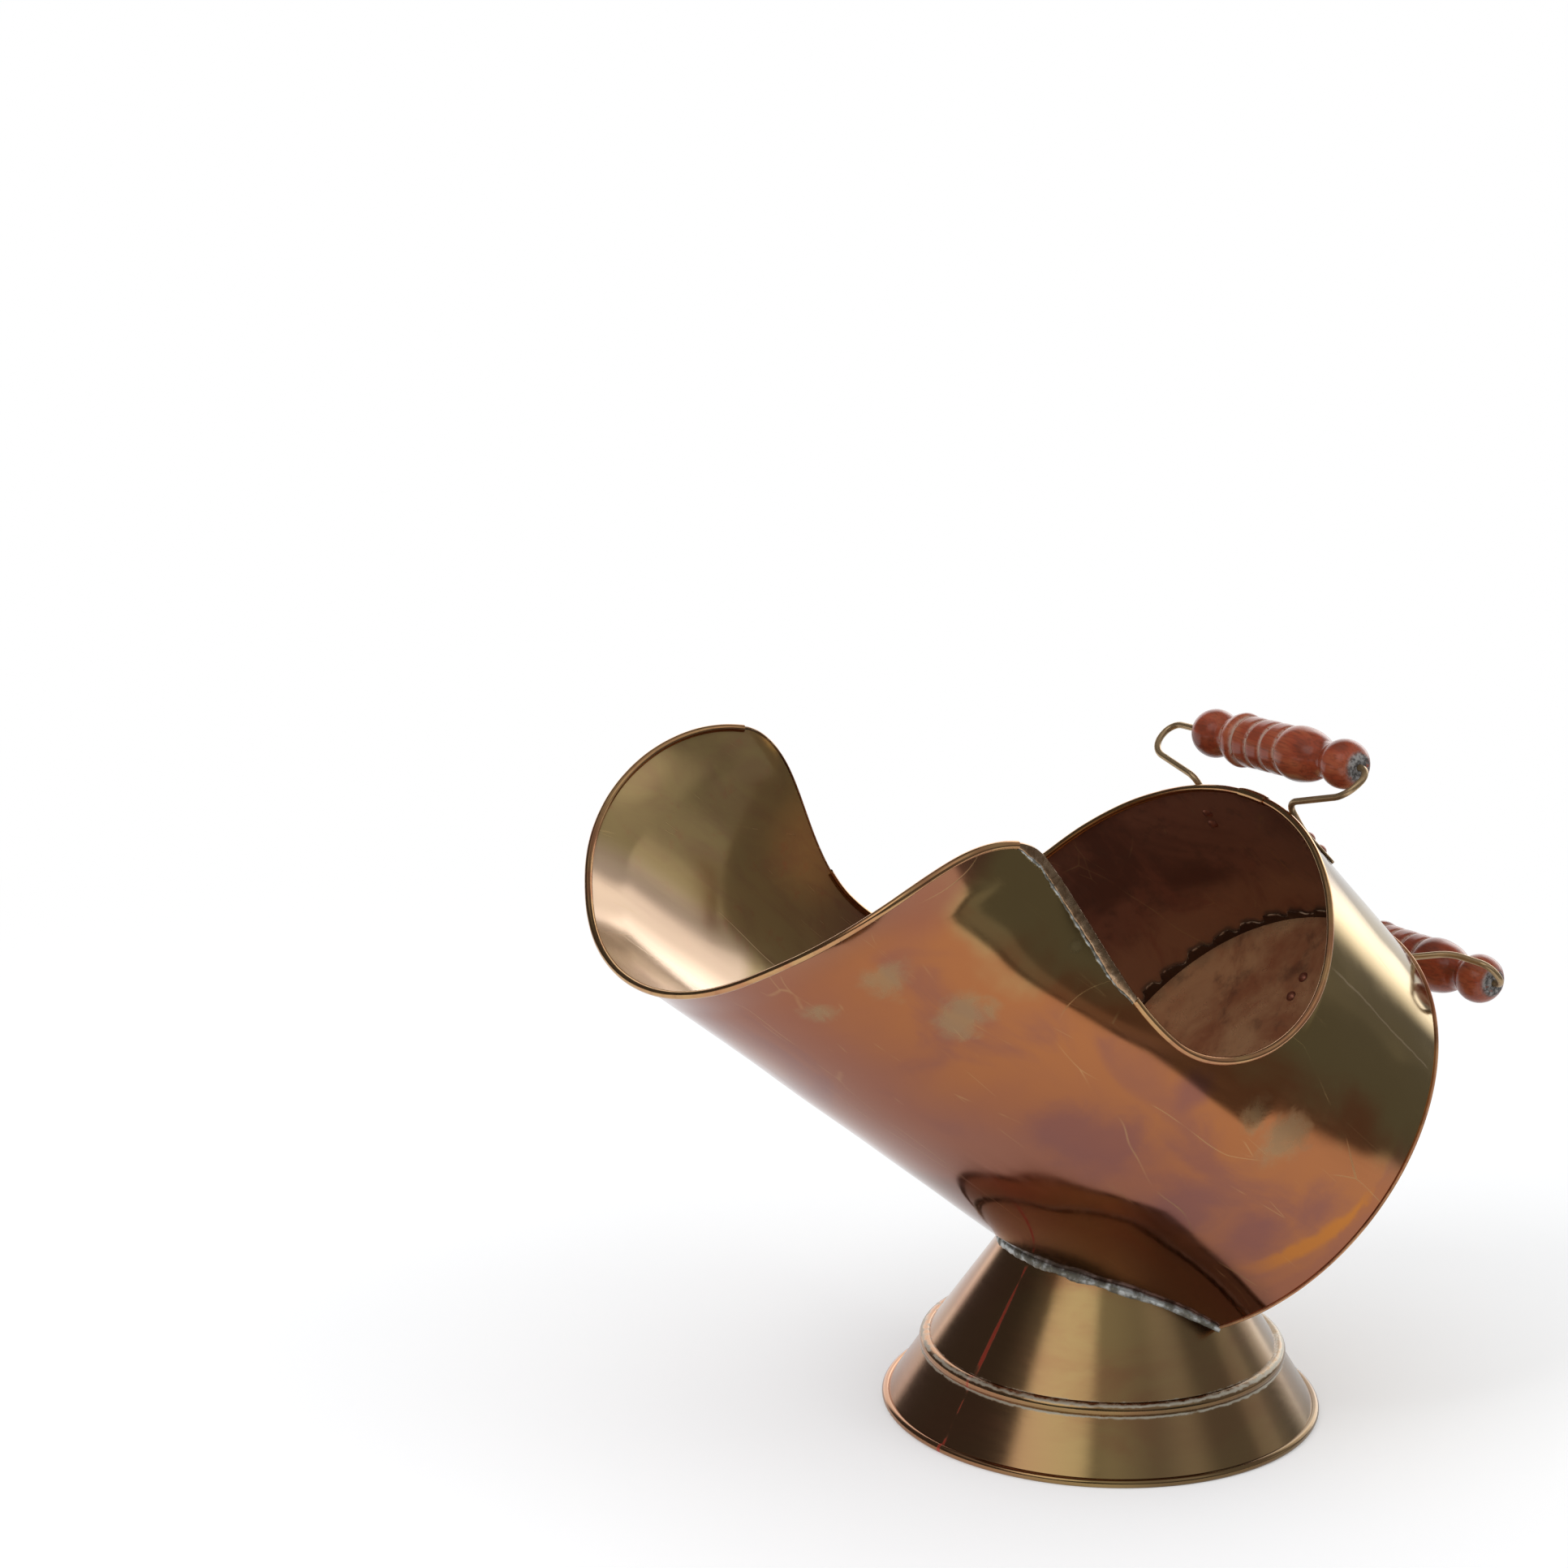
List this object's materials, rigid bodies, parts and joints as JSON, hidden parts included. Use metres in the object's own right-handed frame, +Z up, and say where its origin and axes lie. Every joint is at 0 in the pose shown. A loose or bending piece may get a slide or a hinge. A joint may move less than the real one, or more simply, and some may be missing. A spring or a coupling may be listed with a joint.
{
  "type": "coal scuttle",
  "caption": "Helmet-shaped brass coal scuttle: slanting hooded tube with a pouring lip on a flared round foot, with two wire handles and turned wooden grips.",
  "frame": {"origin": "middle of the round foot, on the floor it stands on", "axes": "+Z up; +X from the foot towards the pouring lip, in the plane in which both halves of the body mirror each other; +Y to the left"},
  "size_m": [0.4512, 0.2541, 0.3257],
  "materials": {
    "tube_brass": "tarnished, satin, with rosy and purple patches",
    "plate_brass": "dark, tarnished",
    "edge_brass": "worn, rubbed bright along the edge",
    "foot_brass": "tarnished olive, satin",
    "wire_brass": "dull, worn",
    "rivet_copper": "dull, reddish",
    "solder": "grey soft solder, uneven",
    "turned_wood": "turned, stained reddish brown, worn varnish"
  },
  "bodies": {
    "scuttle": {"body_shell": "tube_brass", "back_plate": "plate_brass", "left_hood_bead": "edge_brass", "right_hood_bead": "edge_brass", "rim_sleeve": "edge_brass", "lip_bead": "edge_brass", "left_hem": "edge_brass", "right_hem": "edge_brass", "left_hem_solder": "solder", "right_hem_solder": "solder", "foot_cone": "foot_brass", "foot_band": "foot_brass", "foot_skirt": "foot_brass", "foot_bead": "foot_brass", "foot_solder": "solder", "top_wire": "wire_brass", "top_rivets": "rivet_copper", "rear_wire": "wire_brass", "rear_rivets": "rivet_copper"},
    "top_grip": {"top_grip": "turned_wood"},
    "rear_grip": {"rear_grip": "turned_wood"}
  },
  "joints": [
    {"name": "top_grip_spin", "type": "hinge", "parent": "scuttle", "child": "top_grip", "pos_m": [-0.08987, 0, 0.31115], "axis": [-0.0465, 0.9972, 0.0588], "continuous": true},
    {"name": "rear_grip_spin", "type": "hinge", "parent": "scuttle", "child": "rear_grip", "pos_m": [-0.17966, 0, 0.19497], "axis": [-0.0346, 0.9984, 0.0438], "continuous": true}
  ]
}
